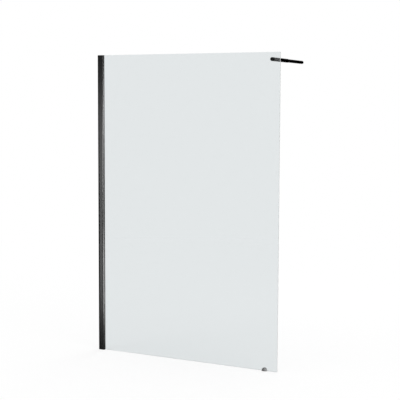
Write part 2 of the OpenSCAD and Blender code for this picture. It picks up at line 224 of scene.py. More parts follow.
def seeThrough(g, solid, shade):  # light passes straight through, for its shadow
    clear = g.add("ShaderNodeBsdfTransparent", inputs={"Color": shade})
    return g.add("ShaderNodeMixShader", inputs={
        0: g.add("ShaderNodeLightPath", take="Is Shadow Ray"), 1: solid, 2: clear})


def buildGlass(g):
    across = g.split(g.place(), "Y")
    isFace = g.maths("GREATER_THAN", g.maths("ABSOLUTE", across), glass["face"])
    rollerWaves = g.noise(glass["waves"], 1.0)
    lines = g.noise(glass["edgeLines"], 3.0)
    pane = g.add("ShaderNodeBsdfPrincipled", inputs={
        "Base Color": g.blend(isFace, glass["edgeTint"], glass["tint"]),
        "Roughness": (1 - isFace) * (glass["edgeRoughness"] + lines * glass["lineRoughness"]),
        "Metallic": (1 - isFace) * glass["silver"],
        "IOR": glass["ior"],
        "Transmission Weight": 1.0,
        "Normal": g.bump(rollerWaves, glass["waveDepth"], glass["waveStrength"]),
    })
    return seeThrough(g, pane, grey(glass["shadow"], (0.98, 1, 1)))


clearPlastic = {
    "dark": 0.86, "light": 0.94, "haze": 900, "swirl": 60, "roughness": 0.05, "hazeRoughness": 0.12,
    "ior": 1.49, "depth": 0.000008, "shadow": 0.80,
}


def buildClearPlastic(g):  # translucent soft plastic with a faint haze
    haze = g.noise(clearPlastic["haze"], 3.0)
    swirl = g.noise(clearPlastic["swirl"])
    washer = g.add("ShaderNodeBsdfPrincipled", inputs={
        "Base Color": g.blend(swirl, grey(clearPlastic["dark"], (0.98, 1, 1)), grey(clearPlastic["light"])),
        "Roughness": clearPlastic["roughness"] + haze * clearPlastic["hazeRoughness"],
        "IOR": clearPlastic["ior"],
        "Transmission Weight": 1.0,
        "Normal": g.bump(haze, clearPlastic["depth"]),
    })
    return seeThrough(g, washer, grey(clearPlastic["shadow"]))


# both patterns vary tone and roughness, and the fine one is also the relief
# dark and light are a grey and, where it has one, its tint
def patterned(g, s, fine, broad):
    return g.add("ShaderNodeBsdfPrincipled", inputs={
        "Base Color": g.blend(weigh(s["fineTone"], fine, broad), grey(*s["dark"]), grey(*s["light"])),
        "Roughness": s["roughness"] + fine * s["fineRoughness"] + broad * s["broadRoughness"],
        "Metallic": s["metallic"],
        "Specular IOR Level": s["specular"],
        "Normal": g.bump(fine, s["depth"]),
    })


moulded = {
    "dark": (0.010,), "light": (0.019, (1, 1, 1.02)), "pits": 1900, "flow": (40, 40, 16), "fineTone": 0.0,
    "roughness": 0.36, "fineRoughness": 0.12, "broadRoughness": 0.10,
    "metallic": 0.0, "specular": 0.35, "depth": 0.000014,
}
rubber = {
    "dark": (0.012,), "light": (0.034,), "lines": (1600, 1600, 6), "bloom": 45, "fineTone": 0.0,
    "roughness": 0.52, "fineRoughness": 0.0, "broadRoughness": 0.2,
    "metallic": 0.0, "specular": 0.28, "depth": 0.00002,
}
softLiner = {
    "dark": (0.055,), "light": (0.028,), "cells": 1400, "patches": 120, "fineTone": 0.6,
    "roughness": 0.62, "fineRoughness": 0.0, "broadRoughness": 0.14,
    "metallic": 0.0, "specular": 0.25, "depth": 0.00003,
}
steel = {
    "dark": (0.50, (1, 1, 1.03)), "light": (0.66, (1.01, 1, 0.96)), "turning": (120, 5200, 2600),
    "cloud": 260, "fineTone": 0.0, "roughness": 0.22, "fineRoughness": 0.06, "broadRoughness": 0.14,
    "metallic": 1.0, "specular": 0.5, "depth": 0.000012,
}
satinMetal = {
    "dark": (0.060,), "light": (0.095, (1, 1, 1.01)), "brushing": (60, 2600, 2600), "dull": 180,
    "fineTone": 0.7, "roughness": 0.34, "fineRoughness": 0.08, "broadRoughness": 0.05,
    "metallic": 0.0, "specular": 0.3, "depth": 0.00001,
}


def buildMoulded(g):  # spark-eroded mould texture, with slight flow marks
    return patterned(g, moulded, g.cells(moulded["pits"]), g.noise(moulded["flow"], 3.0))


def buildRubber(g):  # extruded along Z, with a dusty bloom
    lines = g.noise(rubber["lines"], 3.0)
    return patterned(g, rubber, lines, g.noise(rubber["bloom"], 4.0, 0.6))


def buildLiner(g):  # dark grey rubber with fine cells
    return patterned(g, softLiner, g.cells(softLiner["cells"]), g.noise(softLiner["patches"], 3.0))


def buildSteel(g):  # turned stainless steel
    turning = g.noise(steel["turning"])
    return patterned(g, steel, turning, g.noise(steel["cloud"], 4.0, 0.6))


def buildSatinMetal(g):  # satin grey metal, brushed along the clip
    brushing = g.noise(satinMetal["brushing"], 3.0)
    return patterned(g, satinMetal, brushing, g.noise(satinMetal["dull"], 3.0))


finishes = {
    "black_aluminium": newFinish("satinBlackAluminium", buildCoat),
    "black_metal": newFinish("glossBlackMetal", buildGloss),
    "recess_shaded_aluminium": newFinish("recessShadedBlackAluminium", buildRecessShadeCoat),
    "black_plastic": newFinish("mouldedBlackPlastic", buildMoulded),
    "gasket": newFinish("glazingRubber", buildRubber),
    "soft_liner": newFinish("softLiner", buildLiner),
    "clear_glass": newFinish("toughenedGlass", buildGlass),
    "clear_plastic": newFinish("clearPlastic", buildClearPlastic),
    "steel": newFinish("turnedSteel", buildSteel),
    "clip_metal": newFinish("satinGreyMetal", buildSatinMetal),
}
print("finishes made:", len(finishes))


# making pieces
mm = 0.001
nought = (0, 0, 0)  # no turn, no step
turnDown = (math.radians(180), 0, 0)
turnToY = (math.radians(-90), 0, 0)  # Z becomes +Y
turnToX = (0, math.radians(90), 0)  # Z becomes +X


def inMm(**sizes):  # lengths given in mm, kept in metres
    return {name: tuple(part * mm for part in size) if isinstance(size, tuple) else size * mm
            for name, size in sizes.items()}


def growTree(name, sizes, build):  # a geometry tree with named inputs
    tree = bpy.data.node_groups.new(name, "GeometryNodeTree")
    tree.interface.new_socket("Geometry", in_out="OUTPUT", socket_type="NodeSocketGeometry")
    tree.interface.new_socket("Geometry", in_out="INPUT", socket_type="NodeSocketGeometry")
    sockets = {}
    for label, kind in {**sizes, "Finish": "Material"}.items():
        socket = tree.interface.new_socket(label, in_out="INPUT", socket_type="NodeSocket" + kind)
        sockets[label] = socket.identifier
    g = Graph(tree)
    given = g.add("NodeGroupInput")
    solid = g.add("GeometryNodeRealizeInstances", inputs={"Geometry": build(g, given)})
    finished = g.add("GeometryNodeSetMaterial", inputs={"Geometry": solid, "Material": given.out("Finish")})
    g.add("NodeGroupOutput", inputs={"Geometry": finished})
    return {"tree": tree, "sockets": sockets}


def grow(piece, made, values):
    modifier = piece.modifiers.new(made["tree"].name, "NODES")
    modifier.node_group = made["tree"]
    for label, value in values.items():
        modifier[made["sockets"][label]] = value
    return piece


def linked(name, data):  # a new object in the scene
    thing = bpy.data.objects.new(name, data)
    bpy.context.scene.collection.objects.link(thing)
    return thing


def newPiece(name, bm=None):
    mesh = bpy.data.meshes.new(name)
    if bm:
        bmesh.ops.recalc_face_normals(bm, faces=bm.faces)
        bm.to_mesh(mesh)
        bm.free()
    return linked(name, mesh)


def settle(piece):  # modifiers become a plain mesh
    bpy.context.view_layer.update()
    depsgraph = bpy.context.evaluated_depsgraph_get()
    mesh = bpy.data.meshes.new_from_object(piece.evaluated_get(depsgraph))
    piece.modifiers.clear()
    spare = piece.data
    piece.data = mesh
    bpy.data.meshes.remove(spare)
    mesh.name = piece.name
    return piece


def soften(piece, width, segments=2, angle=50):
    bevel = piece.modifiers.new("softEdges", "BEVEL")
    bevel.width = width
    bevel.segments = segments
    bevel.limit_method = "ANGLE"
    bevel.angle_limit = math.radians(angle)
    return piece


def dress(piece, body, slotName, node, angle=38, finish=None):  # last step of every piece
    settle(piece)
    mesh = piece.data
    mesh.materials.clear()
    mesh.materials.append(finishes[finish or slotName])
    mesh.polygons.foreach_set("material_index", [0] * len(mesh.polygons))
    mesh.polygons.foreach_set("use_smooth", [True] * len(mesh.polygons))
    mesh.set_sharp_from_angle(angle=math.radians(angle))
    weighted = piece.modifiers.new("evenShading", "WEIGHTED_NORMAL")
    weighted.keep_sharp = True
    settle(piece)
    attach(piece, body)
    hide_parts(node)
    print("piece", piece.name, len(piece.data.polygons), "faces")


# trees for what repeats: faces round each shape, rings along it
meshes = {"drill": 40, "shank": 24, "threadRings": 8, "head": 48, "headRings": 24, "headRound": 0.3,
          "overlap": 0.01 * mm, "weld": 0.001 * mm}


def moved(g, solid, by, how="Translation"):
    return g.add("GeometryNodeTransform", inputs={"Geometry": solid, how: by})


def lifted(g, solid, height):
    return moved(g, solid, g.add("ShaderNodeCombineXYZ", inputs={"Z": height}))


def cylinder(g, corners, radius, depth, rings=1):
    return g.add("GeometryNodeMeshCylinder", inputs={
        "Vertices": corners, "Side Segments": rings, "Radius": radius, "Depth": depth}, take="Mesh")


def meshBoolean(g, operation, solids):
    return g.add("GeometryNodeMeshBoolean", {"operation": operation, "solver": "EXACT"}, solids, "Mesh")


def buildExtrusion(g, given):  # the incoming outline, filled and drawn up along Z
    outline = g.add("GeometryNodeMeshToCurve", inputs={"Mesh": given.out("Geometry")})
    foot = g.add("GeometryNodeFillCurve", {"mode": "NGONS"}, {"Curve": outline})
    rise = g.add("ShaderNodeCombineXYZ", inputs={"Z": given.out("Height")})
    drawn = g.add("GeometryNodeExtrudeMesh", inputs={
        "Mesh": foot, "Offset": rise, "Offset Scale": 1.0, "Individual": False}, take="Mesh")
    under = g.add("GeometryNodeFlipFaces", inputs={"Mesh": foot})
    both = g.add("GeometryNodeJoinGeometry", inputs={"Geometry": [drawn, under]})
    welded = g.add("GeometryNodeMergeByDistance", inputs={"Geometry": both, "Distance": meshes["weld"]})
    return lifted(g, welded, given.out("Foot"))


def placedRow(g, given, thing):  # the thing, repeated from First by Step
    line = g.add("GeometryNodeMeshLine", {"mode": "OFFSET"}, {
        "Count": given.out("Count"), "Start Location": given.out("First"), "Offset": given.out("Step")})
    return g.add("GeometryNodeInstanceOnPoints", inputs={"Points": line, "Instance": thing})


def buildRow(g, given):
    return placedRow(g, given, given.out("Geometry"))


def buildDrilled(turn):
    def build(g, given):
        bit = cylinder(g, meshes["drill"], given.out("Radius"), given.out("Depth"))
        bit = moved(g, bit, turn, "Rotation")
        ends = g.add("GeometryNodeJoinGeometry", inputs={"Geometry": [bit, moved(g, bit, given.out("Slot"))]})
        row = placedRow(g, given, g.add("GeometryNodeConvexHull", inputs={"Geometry": ends}))
        cutters = g.add("GeometryNodeRealizeInstances", inputs={"Geometry": row})
        return meshBoolean(g, "DIFFERENCE", {"Mesh 1": given.out("Geometry"), "Mesh 2": cutters})
    return build


def waisted(g, solid, shrink):  # narrows a shape round Z by shrink, a share of its radius
    spot = g.split(g.add("GeometryNodeInputPosition"))
    keep = 1 - shrink
    narrowed = g.add("ShaderNodeCombineXYZ", inputs={
        "X": spot.out("X") * keep, "Y": spot.out("Y") * keep, "Z": spot.out("Z")})
    return g.add("GeometryNodeSetPosition", inputs={"Geometry": solid, "Position": narrowed})


def buildScrew(turn, head, socket):  # threaded shank along Z, tip at 0, then turned and repeated
    def build(g, given):
        length = given.out("Length")
        pitch = given.out("Pitch")
        spot = g.split(g.add("GeometryNodeInputPosition"))
        turnShare = g.maths("ARCTAN2", spot.out("Y"), spot.out("X")) / (2 * math.pi)
        phase = g.maths("FRACT", spot.out("Z") / pitch - turnShare)
        ridge = g.maths("ABSOLUTE", phase - 0.5) * 2
        endGap = length / 2 - g.maths("ABSOLUTE", spot.out("Z"))
        chamfer = g.maths("MAXIMUM", given.out("Chamfer") - endGap, 0.0)
        shrink = g.maths("MAXIMUM", ridge * given.out("Thread"), chamfer) / given.out("Radius")
        rings = length / pitch * meshes["threadRings"]
        shank = cylinder(g, meshes["shank"], given.out("Radius"), length, rings)
        screw = lifted(g, waisted(g, shank, shrink), length / 2)
        top = length
        if head:
            radius = given.out("Head Radius")
            height = given.out("Head Height")
            corner = height * meshes["headRound"]
            rise = g.maths("MAXIMUM", spot.out("Z") - (height / 2 - corner), 0.0) / corner
            rounding = (1 - g.maths("SQRT", g.maths("MAXIMUM", 1 - rise * rise, 0.0))) * corner / radius
            block = waisted(g, cylinder(g, meshes["head"], radius, height, meshes["headRings"]), rounding)
            block = lifted(g, block, length + height / 2 - meshes["overlap"])
            screw = meshBoolean(g, "UNION", {"Mesh 2": [screw, block]})
            top = length + height
        if socket:
            key = lifted(g, cylinder(g, 6, given.out("Key Radius"), given.out("Key Depth") * 2), top)
            screw = meshBoolean(g, "DIFFERENCE", {"Mesh 1": screw, "Mesh 2": key})
        return placedRow(g, given, moved(g, screw, turn, "Rotation"))
    return build


rowSizes = {"Count": "Int", "First": "Vector", "Step": "Vector"}
drillSizes = {"Radius": "Float", "Depth": "Float", "Slot": "Vector", **rowSizes}
screwSizes = {**dict.fromkeys((
    "Length", "Radius", "Pitch", "Thread", "Chamfer", "Head Radius", "Head Height", "Key Radius", "Key Depth",
), "Float"), **rowSizes}
trees = {
    "extrude": growTree("extrudeOutline", {"Height": "Float", "Foot": "Float"}, buildExtrusion),
    "drillX": growTree("drillAlongX", drillSizes, buildDrilled(turnToX)),
    "drillY": growTree("drillAlongY", drillSizes, buildDrilled(turnToY)),
    "drillZ": growTree("drillAlongZ", drillSizes, buildDrilled(nought)),
    "row": growTree("repeatInRow", rowSizes, buildRow),
    "capScrew": growTree("capScrewsAlongY", screwSizes, buildScrew(turnToY, True, True)),
    "grubY": growTree("grubScrewsAlongY", screwSizes, buildScrew(turnToY, False, True)),
    "grubDown": growTree("grubScrewsDown", screwSizes, buildScrew(turnDown, False, True)),
    "stud": growTree("threadedStudAlongY", screwSizes, buildScrew(turnToY, False, False)),
}
print("geometry trees:", len(trees))


def drill(piece, along, radius, first, depth, count=1, step=nought, slot=nought):  # slot lengthens the hole
    return grow(piece, trees["drill" + along], {
        "Radius": radius, "Depth": depth, "Slot": slot, "Count": count, "First": first, "Step": step})


# outlines
def mirrored(half):  # the half outline, then its mirror image on the other side of the glass
    return half + [(p[0], -p[1], *p[2:]) for p in reversed(half) if p[1] > 0]


# softens the corners that come with a radius, each by no more than this share of an edge
def rounded(points, steps=3, share=0.45):
    result = []
    for before, here, after in zip(points[-1:] + points[:-1], points, points[1:] + points[:1]):
        corner = Vector(here[:2])
        if len(here) < 3:
            result.append(corner)
            continue
        back = Vector(before[:2]) - corner
        ahead = Vector(after[:2]) - corner
        one = corner + back.normalized() * min(here[2], back.length * share)
        two = corner + ahead.normalized() * min(here[2], ahead.length * share)
        for i in range(steps + 1):
            t = i / steps
            result.append(one.lerp(corner, t).lerp(corner.lerp(two, t), t))
    return result


def extruded(name, half, height, foot=0.0):  # half an outline, mirrored, rounded and drawn up along Z
    bm = bmesh.new()
    corners = [bm.verts.new((x, y, 0)) for x, y in rounded(mirrored(half))]
    for one, two in zip(corners, corners[1:] + corners[:1]):
        bm.edges.new((one, two))
    return grow(newPiece(name, bm), trees["extrude"], {"Height": height, "Foot": foot})


def arc(centre, radius, start, end, steps):  # points on an arc, angles in degrees
    angles = [math.radians(start + (end - start) * i / steps) for i in range(steps + 1)]
    return [(centre[0] + radius * math.cos(a), centre[1] + radius * math.sin(a)) for a in angles]


def vGroove(x, y, half, depth):
    return [(x - half, y), (x, y + depth), (x + half, y)]


def measured(base, *pairs):  # the second number of each pair is in mm from base
    return [(radius, base + along * mm) for radius, along in pairs]


# (radius, y) pairs, turned round a line along Y
def turnedPiece(name, outline, centre, segments=64, hollow=False):
    bm = bmesh.new()
    rings = []
    for radius, along in outline:
        if radius == 0:
            rings.append([bm.verts.new((centre[0], along, centre[1]))])
            continue
        ring = arc(centre, radius, 0, 360, segments)[:-1]
        rings.append([bm.verts.new((x, along, z)) for x, z in ring])
    pairs = list(zip(rings, rings[1:]))
    if hollow:
        pairs.append((rings[-1], rings[0]))
    for one, two in pairs:
        for i in range(segments):
            j = (i + 1) % segments
            corners = [one[i % len(one)], one[j % len(one)], two[j % len(two)], two[i % len(two)]]
            unique = list(dict.fromkeys(corners))
            if len(unique) > 2:
                bm.faces.new(unique)
    return newPiece(name, bm)


def slab(name, corners, levels):  # an upright plate: an X-Z outline drawn at (y, inset) levels
    middle = sum((Vector(c) for c in corners), Vector((0, 0))) / len(corners)
    bm = bmesh.new()
    rings = []
    for y, inset in levels:
        ring = []
        for x, z in corners:
            side = Vector((math.copysign(inset, x - middle.x), math.copysign(inset, z - middle.y)))
            ring.append(bm.verts.new((x - side.x, y, z - side.y)))
        rings.append(ring)
    for one, two in zip(rings, rings[1:]):
        for i in range(len(one)):
            j = (i + 1) % len(one)
            bm.faces.new((one[i], one[j], two[j], two[i]))
    bm.faces.new(rings[0])
    bm.faces.new(rings[-1])
    return newPiece(name, bm)


def box(name, low, high):
    bm = bmesh.new()
    bmesh.ops.create_cube(bm, size=1)
    for vertex in bm.verts:
        vertex.co = [(a + b) / 2 + c * (b - a) for a, b, c in zip(low, high, vertex.co)]
    return newPiece(name, bm)


def combine(piece, other, operation):  # boolean with a helper shape, which is then removed
    cut = piece.modifiers.new("combine", "BOOLEAN")
    cut.operation = operation
    cut.solver = "EXACT"
    cut.object = other
    settle(piece)
    bpy.data.objects.remove(other)


# wall channel
screen = inMm(height=2000, width=1300, paneHalf=4)
sideScrews = {"count": 3, **inMm(x=16.5, first=150, step=850)}
sideScrewRow = {"count": sideScrews["count"], "step": (0, 0, sideScrews["step"])}
channel = {"gripTeeth": 6, "holes": 4, **inMm(
    depth=26, outer=9.6, inner=7.8, web=2, drillLine=0.5, grip=0.25, gripFrom=19, gripPitch=0.9,
    holeRadius=2.75, holeFirst=100, holeStep=600, slotRadius=2.2, slotIn=-10, slotOut=5, slotY=9,
    edge=0.4, soft=0.15,
)}


def channelOutline():
    c = channel
    half = [(c["web"] - c["drillLine"], 0.0), (c["web"], c["drillLine"]), (c["web"], c["inner"], c["edge"])]
    for i in range(c["gripTeeth"]):  # fine ridges that the clamp plates bite on
        x = c["gripFrom"] + i * c["gripPitch"]
        half += [(x, c["inner"]), (x + c["gripPitch"] / 2, c["inner"] + c["grip"])]
    half += [(c["depth"], c["inner"], c["edge"]), (c["depth"], c["outer"], c["edge"])]
    return half + [(0.0, c["outer"], c["edge"])]


wallChannel = extruded("wallChannel", channelOutline(), screen["height"])
drill(wallChannel, "X", channel["holeRadius"], (0, 0, channel["holeFirst"]), depth=20 * mm,
      count=channel["holes"], step=(0, 0, channel["holeStep"]))
drill(wallChannel, "Y", channel["slotRadius"],
      (sideScrews["x"] + channel["slotIn"], channel["slotY"], sideScrews["first"]), depth=6 * mm,
      slot=(channel["slotOut"] - channel["slotIn"], 0, 0), **sideScrewRow)
soften(wallChannel, channel["soft"])
# the channel gets the darker copy of the coat: painted shade of its recess
dress(wallChannel, "fixings", "black_aluminium", "wall_channel", finish="recess_shaded_aluminium")

# glazing profile
profile = {"noseSteps": 28, "cavitySteps": 14, **inMm(
    back=11, noseStart=31, tip=44, half=12.5, tipHalf=6, noseRadius=16.25, wall=1.6, lipInner=9.9, lipEnd=22,
    shellInner=10.9, pocketHalf=5.2, pocketOuter=6.5, pocketBack=28.8, webBack=27.5, holeY=11.5,
    barbs=(32.5, 36.5, 40.5), barb=0.35, barbLength=0.9, lines=(13.5, 19.5), line=0.25, edge=0.5,
)}


def barbed(depth, half):  # small one-way notches that keep the gasket in
    points = []
    for x in profile["barbs"]:
        end = x + profile["barbLength"]
        points += [(x, half), (end, half + depth), (end + 0.1 * mm, half)]
    return points


def profileOutline():
    p = profile
    centre = (p["noseStart"], p["half"] - p["noseRadius"])
    noseEnd = math.degrees(math.asin((p["tipHalf"] - centre[1]) / p["noseRadius"]))
    cavityRadius = p["noseRadius"] - p["wall"]
    cavityEnd = math.degrees(math.asin((p["pocketOuter"] - centre[1]) / cavityRadius))
    half = [(p["pocketBack"], p["pocketHalf"], 0.3 * mm), *barbed(p["barb"], p["pocketHalf"])]
    half += [(p["tip"], p["pocketHalf"], 0.15 * mm), (p["tip"], p["tipHalf"], 0.25 * mm)]
    half += arc(centre, p["noseRadius"], noseEnd, 90, p["noseSteps"])[1:]
    half += [(p["back"], p["half"], p["edge"]), (p["back"], p["lipInner"], p["edge"])]
    for x in p["lines"]:
        half += vGroove(x, p["lipInner"], p["line"], p["line"])
    half += [(p["lipEnd"], p["lipInner"], 0.3 * mm), (p["lipEnd"], p["shellInner"], 0.3 * mm)]
    half += arc(centre, cavityRadius, 90, cavityEnd, p["cavitySteps"])
    return half + [(p["webBack"], p["pocketOuter"], 0.4 * mm)]


glazingProfile = extruded("glazingProfile", profileOutline(), screen["height"])
drill(glazingProfile, "Y", channel["slotRadius"], (sideScrews["x"], profile["holeY"], sideScrews["first"]),
      depth=6 * mm, **sideScrewRow)
soften(glazingProfile, channel["soft"])
dress(glazingProfile, "panel", "black_aluminium", "glazing_profile")

gasket = inMm(
    foot=2.5, lip=0.8, barb=0.22, fit=0.02, wall=1.2, soft=0.1, ribs=(33, 36, 39, 42), ribHalf=0.4,
    ribDepth=0.3)


def gasketOutline():
    p = profile
    inner = screen["paneHalf"]
    outer = p["pocketHalf"] - gasket["fit"]
    lip = p["tip"] + gasket["lip"]
    half = [(p["pocketBack"] + gasket["wall"], inner, 0.2 * mm)]
    for x in gasket["ribs"]:  # wiping ribs against the glass, cut as shallow grooves
        half += vGroove(x, inner, gasket["ribHalf"], gasket["ribDepth"])
    half += [(lip, inner, 0.1 * mm), (lip, inner + 0.25 * mm, 0.15 * mm)]
    half += [(p["tip"] - 0.1 * mm, outer, 0.3 * mm), *reversed(barbed(gasket["barb"], outer))]
    return half + [(p["pocketBack"], outer, 0.3 * mm)]


glazingGasket = extruded("glazingGasket", gasketOutline(), screen["height"] - gasket["foot"], gasket["foot"])
dress(soften(glazingGasket, gasket["soft"]), "panel", "gasket", "glazing_gasket")

# end pieces
topCap = inMm(
    low=(12.5, -7.5, 1996.4), high=(27.5, 7.5, 2000), leg=2, legHalf=6.5, legFoot=1984.4, overlap=1, rim=0.9,
    dish=0.4, soft=0.3)
capTop = box("profileTopCap", topCap["low"], topCap["high"])
bm = bmesh.new()
bm.from_mesh(capTop.data)
upper = max(bm.faces, key=lambda face: face.calc_center_median().z)
bmesh.ops.inset_region(bm, faces=[upper], thickness=topCap["rim"])
for vertex in upper.verts:
    vertex.co.z -= topCap["dish"]
bm.to_mesh(capTop.data)
bm.free()
capLeg = box("capLeg", (topCap["high"][0] - topCap["leg"], -topCap["legHalf"], topCap["legFoot"]),
             (topCap["high"][0], topCap["legHalf"], topCap["low"][2] + topCap["overlap"]))
combine(capTop, capLeg, "UNION")
dress(soften(capTop, topCap["soft"]), "panel", "black_plastic", "profile_top_cap")

plug = inMm(
    back=2.05, front=15, half=7.75, foot=1987.9, height=8, grooves=(5, 8.5, 12), groove=0.5, soft=0.25)


def plugOutline():
    half = [(plug["back"], plug["half"], 0.4 * mm)]
    for x in plug["grooves"]:
        half += vGroove(x, plug["half"], plug["groove"], -plug["groove"])
    return half + [(plug["front"], plug["half"], 0.6 * mm)]


channelPlug = extruded("channelTopPlug", plugOutline(), plug["height"], plug["foot"])
dress(soften(channelPlug, plug["soft"]), "fixings", "black_plastic", "channel_top_plug")
print("profile and channel done")

# pane
pane = inMm(left=30, foot=2.5, corner=3, arris=0.8, dub=0.25, holeRadius=6)
arm = inMm(x=1247, z=1956)


def paneCorners():
    r = pane["corner"]
    left, right = pane["left"] + r, screen["width"] - r
    low, high = pane["foot"] + r, screen["height"] - r
    points = []
    for centre, start in (((right, low), -90), ((right, high), 0), ((left, high), 90), ((left, low), 180)):
        points += arc(centre, r, start, start + 90, 8)
    return points


edgeSteps = [(0.0, pane["arris"]), (pane["dub"], pane["arris"] * 0.45), (pane["arris"], 0.0)]
glassPane = slab("glassPanel", paneCorners(), [
    *[(-screen["paneHalf"] + depth, inset) for depth, inset in edgeSteps],
    *[(screen["paneHalf"] - depth, inset) for depth, inset in reversed(edgeSteps)]])
drill(glassPane, "Y", pane["holeRadius"], (arm["x"], 0, arm["z"]), depth=20 * mm)
dress(glassPane, "panel", "clear_glass", "glass_panel", angle=15)

# side screws
sideScrews.update(inMm(
    face=12.5, cupRadius=4.6, cupHeight=2.2, cupFloor=1, cupBore=3.85, holeRadius=2.2, capRadius=5.25,
    capHeight=4.3, capWall=0.6, tip=4.3, radius=2, headRadius=3.8, headHeight=2.2, keyRadius=1.443,
    keyDepth=1.3, pitch=0.7, thread=0.35, chamfer=0.5, plateHalf=4, plateRise=9, plateIn=5.3, plateOut=7.8,
    plateMiddle=6.5, plateSoft=0.35, threadGap=0.05))
s = sideScrews


def screwRow(name, made, body, node, values):
    row = {"Count": 1, "Step": nought, "Finish": finishes["steel"], **values}
    dress(grow(newPiece(name), trees[made], row), body, "steel", node, angle=30)


def repeated(piece):  # one at each side screw
    return grow(settle(piece), trees["row"], {
        "Count": s["count"], "First": nought, "Step": (0, 0, s["step"])})


screwRow("sideScrews", "capScrew", "panel", "side_screws", {
    "Length": s["face"] + s["cupFloor"] - s["tip"], "Radius": s["radius"], "Pitch": s["pitch"],
    "Thread": s["thread"], "Chamfer": s["chamfer"], "Head Radius": s["headRadius"],
    "Head Height": s["headHeight"], "Key Radius": s["keyRadius"], "Key Depth": s["keyDepth"],
    "First": (s["x"], s["tip"], s["first"]), "Count": s["count"], "Step": (0, 0, s["step"])})

y = s["face"]
cups = turnedPiece("sideScrewCups", [
    (s["holeRadius"], y), (s["cupRadius"] - 0.2 * mm, y), (s["cupRadius"], y + 0.2 * mm),
    (s["cupRadius"], y + s["cupHeight"] - 0.25 * mm), (s["cupRadius"] - 0.25 * mm, y + s["cupHeight"]),
    (s["cupBore"], y + s["cupHeight"]), (s["cupBore"], y + s["cupFloor"]),
    (s["holeRadius"], y + s["cupFloor"]),
], (s["x"], s["first"]), segments=48, hollow=True)
dress(repeated(cups), "panel", "black_plastic", "side_screw_cups")

top = y + s["capHeight"]
caps = turnedPiece("sideScrewCaps", [
    (s["capRadius"] - 0.6 * mm, y), (s["capRadius"] - 0.15 * mm, y), (s["capRadius"], y + 0.2 * mm),
    *arc((s["capRadius"] - 1.2 * mm, top - 1.2 * mm), 1.2 * mm, 0, 80, 6),
    (s["capRadius"] * 0.45, top - 0.02 * mm), (0, top), (0, top - s["capWall"]),
    *arc((s["capRadius"] - 1.6 * mm, top - s["capWall"] - 1.0 * mm), 1.0 * mm, 90, 0, 5),
], (s["x"], s["first"]), hollow=True)
dress(repeated(caps), "panel", "black_plastic", "side_screw_caps")

plates = box("clampPlates", (s["x"] - s["plateHalf"], s["plateIn"], s["first"] - s["plateRise"]),
             (s["x"] + s["plateHalf"], s["plateOut"], s["first"] + s["plateRise"]))
drill(plates, "Y", s["radius"] + s["threadGap"], (s["x"], s["plateMiddle"], s["first"]), depth=9 * mm)
soften(plates, s["plateSoft"], segments=3)
dress(repeated(plates), "panel", "steel", "clamp_plates")
print("side screws done")

# stabiliser arm
axis = (arm["x"], arm["z"])
arm.update(inMm(
    buttonRadius=11.5, buttonFace=-10, buttonBack=-4.8, rim=1.5, pinHole=1.1, pinHoleY=-7, pinHoleRise=0.8,
    tubeRadius=12, tubeBore=11, tubeStart=4.8, tubeEnd=259.8, rodRadius=10.5, rodBore=9.5, rodStart=58.3,
    reach=540, studRadius=3, studHole=8.3, washerBore=3.2, smallHole=2.05, lockScrewY=247.8, stubScrewY=521,
    edge=0.35, slip=0.05))
inStud = arm["studRadius"] + arm["slip"]  # bored for the stud
button = turnedPiece("armButton", [
    (0, arm["buttonFace"]), (arm["buttonRadius"] * 0.5, arm["buttonFace"] + 0.02 * mm),
    *arc((arm["buttonRadius"] - arm["rim"], arm["buttonFace"] + arm["rim"]), arm["rim"], -86, 0, 10),
    *measured(arm["buttonBack"], (arm["buttonRadius"], -0.25), (arm["buttonRadius"] - 0.25 * mm, 0),
              (inStud, 0)),
    (inStud, -arm["studHole"]), (0, -arm["studHole"]),
], axis, segments=96)
drill(button, "Z", arm["pinHole"],  # for a pin that tightens the button
      (arm["x"], arm["pinHoleY"], arm["z"] - arm["buttonRadius"] + arm["pinHoleRise"]), depth=5 * mm)
dress(button, "panel", "black_metal", "arm_button", angle=30)


def ringPiece(name, radius, bore, start, end, edge, segments=64):
    return turnedPiece(name, [
        (bore, start + edge), (bore + edge, start), (radius - edge, start), (radius, start + edge),
        (radius, end - edge), (radius - edge, end), (bore + edge, end), (bore, end - edge),
    ], axis, segments, hollow=True)


face = screen["paneHalf"]
for name, node, radius, start, end, edge in (
        ("buttonWasher", "button_washer", arm["buttonRadius"] - 0.5 * mm, arm["buttonBack"], -face, 0.2 * mm),
        ("tubeWasher", "tube_washer", arm["tubeRadius"], face, arm["tubeStart"], 0.2 * mm),
        ("holeBush", "hole_bush", pane["holeRadius"] - arm["slip"], -face, face, 0.3 * mm)):
    dress(ringPiece(name, radius, arm["washerBore"], start, end, edge), "panel", "clear_plastic", node)

screwRow("armStud", "stud", "panel", "arm_stud", {
    "Length": 30.05 * mm, "Radius": arm["studRadius"], "Pitch": 1 * mm, "Thread": 0.5 * mm,
    "Chamfer": 0.7 * mm, "First": (arm["x"], -8.25 * mm, arm["z"])})

inTube = arm["tubeBore"] - arm["slip"]  # what is pushed into the tube's bore
groove = inTube - 0.3 * mm
plugRings = []
for start in range(6, 21, 3):  # shallow rings that grip the tube's bore
    plugRings += measured(start * mm, (inTube, 0), (inTube, 1.6), (groove, 1.9), (groove, 2.7))
dress(turnedPiece("tubePlug", [
    (3.05 * mm, 5.1 * mm), (3.35 * mm, 4.8 * mm), (inTube - 0.35 * mm, 4.8 * mm), *plugRings,
    (inTube - 0.45 * mm, 21.8 * mm), (3.35 * mm, 21.8 * mm), (3.05 * mm, 21.5 * mm),
], axis, hollow=True), "panel", "steel", "tube_plug")

